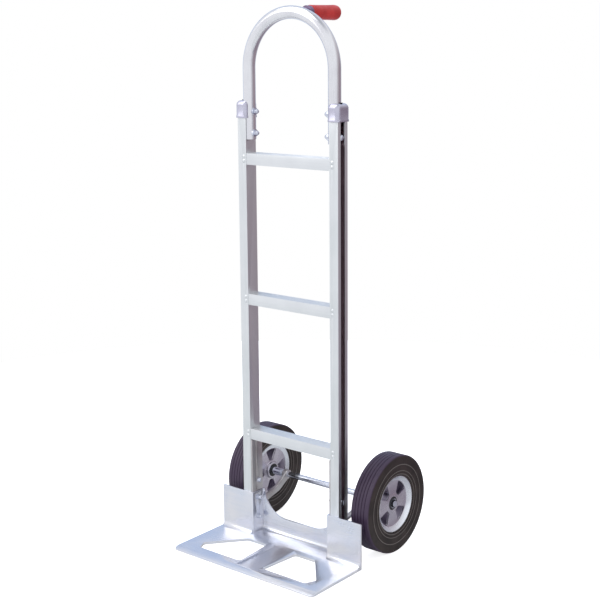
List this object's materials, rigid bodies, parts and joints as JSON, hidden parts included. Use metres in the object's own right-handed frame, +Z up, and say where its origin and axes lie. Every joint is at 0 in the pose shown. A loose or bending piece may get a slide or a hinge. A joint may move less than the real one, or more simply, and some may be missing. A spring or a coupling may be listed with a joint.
{
  "type": "hand truck",
  "caption": "Upright two-wheeled hand truck with channel rails, ribbed rungs, a bent tube loop handle, a rear grip and a windowed toe plate.",
  "frame": {"origin": "on the floor, midway between the rails, in the plane of the rails' front faces", "axes": "+X to the truck's right seen from its front, +Y from the toe plate back towards the wheels, +Z up"},
  "size_m": [0.467, 0.473, 1.379],
  "materials": {
    "rail_extrusion": "mill-finish extruded aluminium",
    "rung_extrusion": "mill-finish extruded aluminium, ribbed top",
    "cap_casting": "die-cast aluminium, soft satin",
    "loop_tube": "drawn aluminium tube, bright satin",
    "grip_vinyl": "dip-moulded red vinyl, satin",
    "toe_casting": "cast aluminium, brushed satin",
    "bracket_casting": "sand-cast aluminium",
    "zinc_steel": "bright zinc-plated steel",
    "dark_screw": "black oxide steel",
    "hub_casting": "die-cast aluminium hub",
    "tyre_rubber": "solid black rubber",
    "seal_rubber": "black moulded seal"
  },
  "bodies": {
    "frame": {"left_rail": "rail_extrusion", "right_rail": "rail_extrusion", "top_rung": "rung_extrusion", "middle_rung": "rung_extrusion", "bottom_rung": "rung_extrusion", "rung_rivets": "rail_extrusion", "left_rail_cap": "cap_casting", "right_rail_cap": "cap_casting", "cap_screws": "dark_screw", "loop_handle": "loop_tube", "handle_bolts": "zinc_steel", "handle_washers": "zinc_steel", "handle_nuts": "zinc_steel", "grip_stub": "loop_tube", "rear_grip": "grip_vinyl", "grip_weld": "loop_tube", "nose_plate": "toe_casting", "left_wheel_bracket": "bracket_casting", "right_wheel_bracket": "bracket_casting", "frame_bolts": "zinc_steel", "frame_nuts": "zinc_steel", "axle": "zinc_steel", "axle_spacers": "zinc_steel", "axle_washers": "zinc_steel", "axle_retainers": "dark_screw"},
    "left_wheel": {"left_tyre": "tyre_rubber", "left_hub": "hub_casting", "left_wheel_bearings": "zinc_steel", "left_bearing_seals": "seal_rubber"},
    "right_wheel": {"right_tyre": "tyre_rubber", "right_hub": "hub_casting", "right_wheel_bearings": "zinc_steel", "right_bearing_seals": "seal_rubber"}
  },
  "joints": [
    {"name": "left_wheel_spin", "type": "hinge", "parent": "frame", "child": "left_wheel", "pos_m": [-0.206, 0.147, 0.127], "axis": [1, 0, 0], "continuous": true},
    {"name": "right_wheel_spin", "type": "hinge", "parent": "frame", "child": "right_wheel", "pos_m": [0.206, 0.147, 0.127], "axis": [1, 0, 0], "continuous": true}
  ]
}
